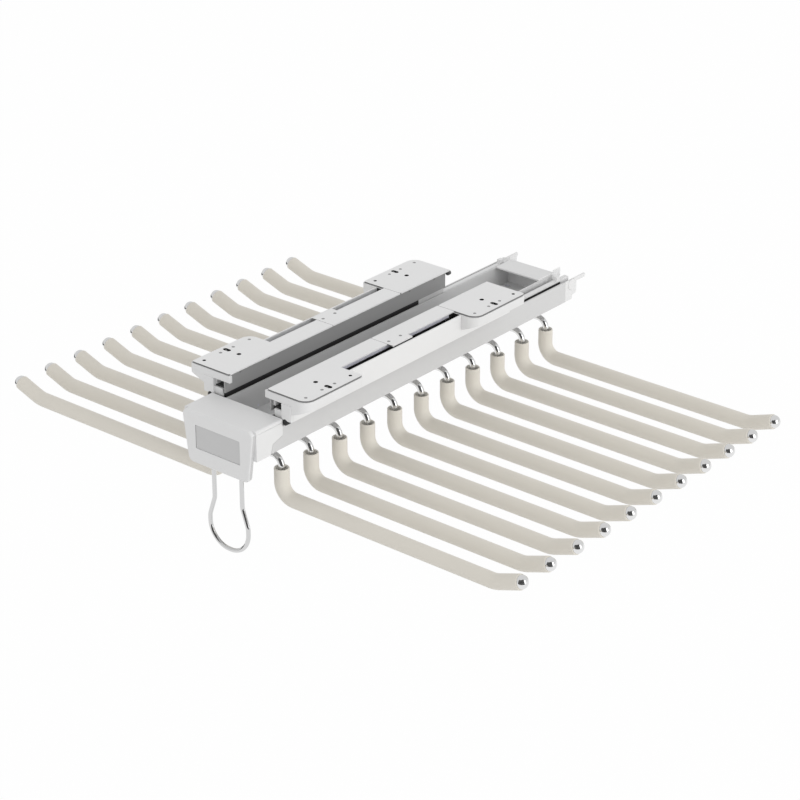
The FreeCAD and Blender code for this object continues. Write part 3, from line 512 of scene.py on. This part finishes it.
chrome = finish("polished_chrome", paint_grain, 500.0, grey(0.74), grey(0.80), (0.04, 0.10),
                0.0004 * mm, metallic=1.0)
arm_count = 11
rod_radius = 3.0 * mm
rod_z = -60.6 * mm
root_x = 35.06 * mm
arm_z = -97.7 * mm
knee_x = 265.5 * mm
end_x = 291.0 * mm
rise = math.radians(19.5)
end_z = arm_z + (end_x - knee_x) * math.tan(rise)
rod_bend = 9.4 * mm
arm_bend = 14.0 * mm
knee_bend = 26.0 * mm
socket = 3.0 * mm
rod_end = (end_x + socket * math.cos(rise), end_z + socket * math.sin(rise))
right_corners = [(root_x, rod_z), (root_x, arm_z), (knee_x, arm_z), rod_end]
left_corners = [(-x, z) for x, z in reversed(right_corners)]
bends = [rod_bend, arm_bend, knee_bend]
rod_step, rod_rings, rod_around = 1.5 * mm, 620, 24
rod_line = bent_line(left_corners + right_corners, bends[::-1] + bends, rod_step)
rod_along = np.linspace(0, reaches(rod_line)[-1], rod_rings)
row_ys = [0.5 * (low[1] + high[1]) for low, high in
          (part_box("cross_rod_%02d" % (i + 1)) for i in range(arm_count))]
for i, row_y in enumerate(row_ys):
    tube = swept(rod_line, rod_along, np.full_like(rod_along, rod_radius), rod_around, row_y)
    add_piece("rod_%02d" % (i + 1), [tube], "frame", chrome, ["cross_rod_%02d" % (i + 1)])


# Arm sleeves. Soft beige plastic tubes with a fine flocked feel, pushed over the rods. Each has an
# open mouth at the top and a rounded edge at the far end.

def flock_group():
    """Very fine fibres as noise Height, and a slow drift of Tone along the sleeve."""
    group, entry, leave, place = new_group("flock")
    fibre = group.nodes.new("ShaderNodeTexNoise")
    fibre.inputs["Detail"].default_value = 5.0
    fibre.inputs["Roughness"].default_value = 0.7
    drift = group.nodes.new("ShaderNodeTexNoise")
    drift.inputs["Scale"].default_value = 35.0
    drift.inputs["Detail"].default_value = 6.0
    blend = group.nodes.new("ShaderNodeMix")
    blend.inputs["Factor"].default_value = 0.45
    group.links.new(place.outputs["Object"], fibre.inputs["Vector"])
    group.links.new(place.outputs["Object"], drift.inputs["Vector"])
    group.links.new(entry.outputs["Scale"], fibre.inputs["Scale"])
    group.links.new(drift.outputs["Fac"], blend.inputs["A"])
    group.links.new(fibre.outputs["Fac"], blend.inputs["B"])
    group.links.new(fibre.outputs["Fac"], leave.inputs["Height"])
    group.links.new(blend.outputs["Result"], leave.inputs["Tone"])
    return group


flock = flock_group()
beige = finish("flocked_beige", flock, 1700.0, (0.69, 0.655, 0.588), (0.755, 0.72, 0.648),
               (0.72, 0.88), 0.02 * mm)
beige_shader = beige.node_tree.nodes["Principled BSDF"]
beige_shader.inputs["Sheen Weight"].default_value = 0.25
beige_shader.inputs["Sheen Roughness"].default_value = 0.5
sleeve_radius = 6.8 * mm
sleeve_top_z = -70.3 * mm
mouth_radius = 5.3 * mm
mouth_depth = 5.0 * mm
lip = 0.8 * mm
end_round = 0.7 * mm
core_gap = 0.05 * mm
core_radius = rod_radius + core_gap
sleeve_step, sleeve_rings, sleeve_around, rim_points, end_points = 1.2 * mm, 260, 32, 9, 6
sleeve_line = bent_line([(root_x, sleeve_top_z), (root_x, arm_z), (knee_x, arm_z), (end_x, end_z)],
                        [arm_bend, knee_bend], sleeve_step)
sleeve_reach = reaches(sleeve_line)[-1]
quarter = np.linspace(0, math.pi / 2, end_points)
mouth_rows = [(mouth_depth, core_radius), (mouth_depth, mouth_radius), (lip, mouth_radius)]
wall_half = 0.5 * (sleeve_radius - mouth_radius)
rim = np.linspace(math.pi, 0, rim_points)
rim_rows = np.stack([lip - lip * np.sin(rim), mouth_radius + wall_half + wall_half * np.cos(rim)], 1)
wall_along = np.linspace(lip, sleeve_reach - end_round, sleeve_rings)[1:]
wall_rows = np.stack([wall_along, np.full_like(wall_along, sleeve_radius)], 1)
end_rows = np.stack([sleeve_reach - end_round + end_round * np.sin(quarter),
                     sleeve_radius - end_round + end_round * np.cos(quarter)], 1)[1:]
foot_rows = [(sleeve_reach, core_radius)]
sleeve_rows = np.concatenate([mouth_rows, rim_rows[1:], wall_rows, end_rows, foot_rows])
mirror_x = np.array([-1.0, 1.0, 1.0])
# Painted light: a paler tone inside the sleeve mouths, lifting the shade that falls in them.
mouth_light_paint = finish("mouth_painted_light", paint_grain, 1300.0, (0.84, 0.82, 0.77), (0.88, 0.86, 0.81),
                   (0.5, 0.6), 0.006 * mm)
mouth_margin = 0.2 * mm


def mouth_faces(row_y):
    """Marks the wall and floor of both sleeves' mouths in the row at row_y, painted paler to lift their
    shade.
    """
    def chosen(centres, normals):
        off_axis = np.hypot(np.abs(centres[:, 0]) - root_x, centres[:, 1] - row_y)
        return (centres[:, 2] > sleeve_top_z - mouth_depth - lip) & (off_axis < mouth_radius + mouth_margin)
    return chosen


for i, row_y in enumerate(row_ys):
    right = swept(sleeve_line, sleeve_rows[:, 0], sleeve_rows[:, 1], sleeve_around, row_y)
    piece = add_piece("sleeves_%02d" % (i + 1), [right, right * mirror_x], "frame", beige,
                      ["arm_sleeves_%02d" % (i + 1)])
    # Painted light in the mouths.
    mark_material(piece, mouth_light_paint, mouth_faces(row_y))


# Arm tips. Domed chrome caps that close the far end of each sleeve, pressed on the rod's end. All of
# them make one piece.

tip_radius = 6.0 * mm
tip_skirt = 0.5 * mm
tip_height = 5.94 * mm
tip_chamfer = 0.3 * mm
dome_points, tip_around = 14, 28
dome = np.linspace(0, math.pi / 2, dome_points)[:-1]
tip_rows = np.concatenate([[(0.0, rod_radius), (0.0, tip_radius - tip_chamfer), (tip_chamfer, tip_radius)],
                           np.stack([tip_skirt + (tip_height - tip_skirt) * np.sin(dome),
                                     tip_radius * np.cos(dome)], 1)])
tip_line = np.array([(end_x, end_z),
                     (end_x + tip_radius * math.cos(rise), end_z + tip_radius * math.sin(rise))])
tip_grids = []
for row_y in row_ys:
    tip = swept(tip_line, tip_rows[:, 0], tip_rows[:, 1], tip_around, row_y)
    tip_grids += [tip, tip * mirror_x]
add_piece("tips", tip_grids, "frame", chrome, ["arm_tips"])


# Pull loop. One chromed wire bent to a pear shape, its ends turned in to the boss as pivots, so
# that it hangs free.

wire_steel = finish("bright_steel_wire", paint_grain, 500.0, grey(0.62), grey(0.68), (0.04, 0.10),
                    0.0004 * mm, metallic=1.0)
wire_radius = 2.0 * mm
loop_y = 0.5 * (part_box("pull_loop")[0][1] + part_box("pull_loop")[1][1])
pivot_z = -63.0 * mm
leg_x = 16.1 * mm
stub_x = 5.7 * mm
flare_top_z = -104.0 * mm
flare_z = -122.0 * mm
loop_half_width = 22.3 * mm
loop_bottom_z = -149.28 * mm
loop_bends = [3.6 * mm, 14.0 * mm, 14.0 * mm, 21.5 * mm]
loop_right = [(stub_x, pivot_z), (leg_x, pivot_z), (leg_x, flare_top_z), (loop_half_width, flare_z),
              (loop_half_width, loop_bottom_z)]
loop_corners = loop_right + [(-x, z) for x, z in reversed(loop_right)]
loop_step, loop_rings, loop_around = 0.6 * mm, 360, 24
loop_line = bent_line(loop_corners, loop_bends + loop_bends[::-1], loop_step)
loop_along = np.linspace(0, reaches(loop_line)[-1], loop_rings)
loop_tube = swept(loop_line, loop_along, np.full_like(loop_along, wire_radius), loop_around, loop_y)
add_piece("loop_wire", [loop_tube], "loop", wire_steel, ["pull_loop"])


# Stage. A plain pale floor well below the hanging rack, a white world that is a little brighter low
# down, and one large soft lamp from the right.

floor_z = -0.55
floor_reach = 14.0
floor_mesh = bpy.data.meshes.new("floor")
floor_mesh.from_pydata([(-floor_reach, -floor_reach, floor_z), (floor_reach, -floor_reach, floor_z),
                        (floor_reach, floor_reach, floor_z), (-floor_reach, floor_reach, floor_z)],
                       [], [(0, 1, 2, 3)])
floor_paint = bpy.data.materials.new("pale_floor")
floor_paint.use_nodes = True
tree = floor_paint.node_tree
matt = tree.nodes["Principled BSDF"]
matt.inputs["Base Color"].default_value = (0.9, 0.9, 0.9, 1.0)
matt.inputs["Roughness"].default_value = 0.9
glow = tree.nodes.new("ShaderNodeEmission")
glow.inputs["Strength"].default_value = 1.0
mixer = tree.nodes.new("ShaderNodeMixShader")
path = tree.nodes.new("ShaderNodeLightPath")
seen = tree.nodes.new("ShaderNodeMath")
seen.operation = "MAXIMUM"
share = tree.nodes.new("ShaderNodeMath")
share.operation = "MULTIPLY"
share.inputs[1].default_value = 0.97
tree.links.new(path.outputs["Is Camera Ray"], seen.inputs[0])
tree.links.new(path.outputs["Is Glossy Ray"], seen.inputs[1])
tree.links.new(seen.outputs["Value"], share.inputs[0])
tree.links.new(share.outputs["Value"], mixer.inputs["Fac"])
tree.links.new(matt.outputs["BSDF"], mixer.inputs[1])
tree.links.new(glow.outputs["Emission"], mixer.inputs[2])
tree.links.new(mixer.outputs["Shader"], tree.nodes["Material Output"].inputs["Surface"])
floor_mesh.materials.append(floor_paint)
floor = bpy.data.objects.new("floor", floor_mesh)
bpy.context.collection.objects.link(floor)

world = bpy.data.worlds.new("white_studio")
bpy.context.scene.world = world
world.use_nodes = True
sky = world.node_tree
day = sky.nodes["Background"]
day.inputs["Color"].default_value = (1.0, 1.0, 1.0, 1.0)
place = sky.nodes.new("ShaderNodeTexCoord")
height = sky.nodes.new("ShaderNodeSeparateXYZ")
level = sky.nodes.new("ShaderNodeMapRange")
level.inputs["To Min"].default_value = 1.0
level.inputs["To Max"].default_value = 0.72
sky.links.new(place.outputs["Generated"], height.inputs["Vector"])
sky.links.new(height.outputs["Z"], level.inputs["Value"])
sky.links.new(level.outputs["Result"], day.inputs["Strength"])
backdrop = sky.nodes.new("ShaderNodeBackground")
backdrop.inputs["Color"].default_value = (1.0, 1.0, 1.0, 1.0)
bright = sky.nodes.new("ShaderNodeMath")
bright.operation = "MULTIPLY_ADD"
bright.inputs[1].default_value = 0.2
bright.inputs[2].default_value = 0.8
choose = sky.nodes.new("ShaderNodeMixShader")
ray = sky.nodes.new("ShaderNodeLightPath")
shown = sky.nodes.new("ShaderNodeMath")
shown.operation = "MAXIMUM"
sky.links.new(ray.outputs["Is Camera Ray"], bright.inputs[0])
sky.links.new(bright.outputs["Value"], backdrop.inputs["Strength"])
sky.links.new(ray.outputs["Is Camera Ray"], shown.inputs[0])
sky.links.new(ray.outputs["Is Glossy Ray"], shown.inputs[1])
sky.links.new(shown.outputs["Value"], choose.inputs["Fac"])
sky.links.new(day.outputs["Background"], choose.inputs[1])
sky.links.new(backdrop.outputs["Background"], choose.inputs[2])
sky.links.new(choose.outputs["Shader"], sky.nodes["World Output"].inputs["Surface"])

key_light = bpy.data.lights.new("key_right", "AREA")
key_light.shape = "SQUARE"
key_light.size = 3.0
key_light.energy = 50.0
key_lamp = bpy.data.objects.new("key_right", key_light)
lamp_place = Vector((4.2, 0.1, 1.0))
lamp_target = Vector((0.0, 0.05, -0.07))
key_lamp.location = lamp_place
key_lamp.rotation_euler = (lamp_target - lamp_place).to_track_quat("-Z", "Y").to_euler()
bpy.context.collection.objects.link(key_lamp)


# Camera, solved from the photograph's arms and runners: its place, aim and lens in real units.

camera_data = bpy.data.cameras.new("photo_camera")
camera_data.lens = 112.0
camera_data.sensor_width = 36.0
camera_data.clip_end = 60.0
camera = bpy.data.objects.new("photo_camera", camera_data)
camera_place = Vector((1.3145, -1.5323, 0.8986))
camera_target = Vector((0.0, 0.0510, -0.0916))
camera.location = camera_place
camera.rotation_euler = (camera_target - camera_place).to_track_quat("-Z", "Y").to_euler()
bpy.context.collection.objects.link(camera)
bpy.context.scene.camera = camera
bpy.context.scene.view_settings.view_transform = "Standard"


# Dark ends of the studio. A curved wall on the camera's side and a strip on the floor at the left, which
# only glossy rays see, so that the chrome shows its dark streaks. They light nothing and hide nothing.

dark_paint = finish("dark_studio", paint_grain, 20.0, grey(0.08), grey(0.10), (0.8, 0.9), 0.0)


def add_dark(name, points):
    """A surface through a (rows, columns, 3) grid of points, seen by glossy rays alone."""
    index = np.arange(points.shape[0] * points.shape[1]).reshape(points.shape[:2])
    quads = np.stack([index[:-1, :-1], index[:-1, 1:], index[1:, 1:], index[1:, :-1]], axis=2)
    mesh = bpy.data.meshes.new(name)
    mesh.from_pydata(points.reshape(-1, 3).tolist(), [], quads.reshape(-1, 4).tolist())
    mesh.materials.append(dark_paint)
    surface = bpy.data.objects.new(name, mesh)
    bpy.context.collection.objects.link(surface)
    surface.visible_camera = False
    surface.visible_diffuse = False
    surface.visible_transmission = False
    surface.visible_shadow = False


wall_distance = 1.3
wall_half, wall_low, wall_high = math.radians(45), math.radians(-16), math.radians(45)
wall_columns, wall_levels = 40, 20
wall_turn = math.atan2(camera_place.y, camera_place.x) + np.linspace(-wall_half, wall_half, wall_columns)
wall_rise = np.linspace(wall_low, wall_high, wall_levels)[:, None]
add_dark("dark_wall", wall_distance * np.stack([np.cos(wall_rise) * np.cos(wall_turn),
                                                np.cos(wall_rise) * np.sin(wall_turn),
                                                np.sin(wall_rise) * np.ones_like(wall_turn)], axis=2))
strip_x, strip_y, strip_z = (-4.0, -1.15), (-1.5, 0.75), floor_z + 0.01
add_dark("dark_strip", np.array([[(x, y, strip_z) for x in strip_x] for y in strip_y]))
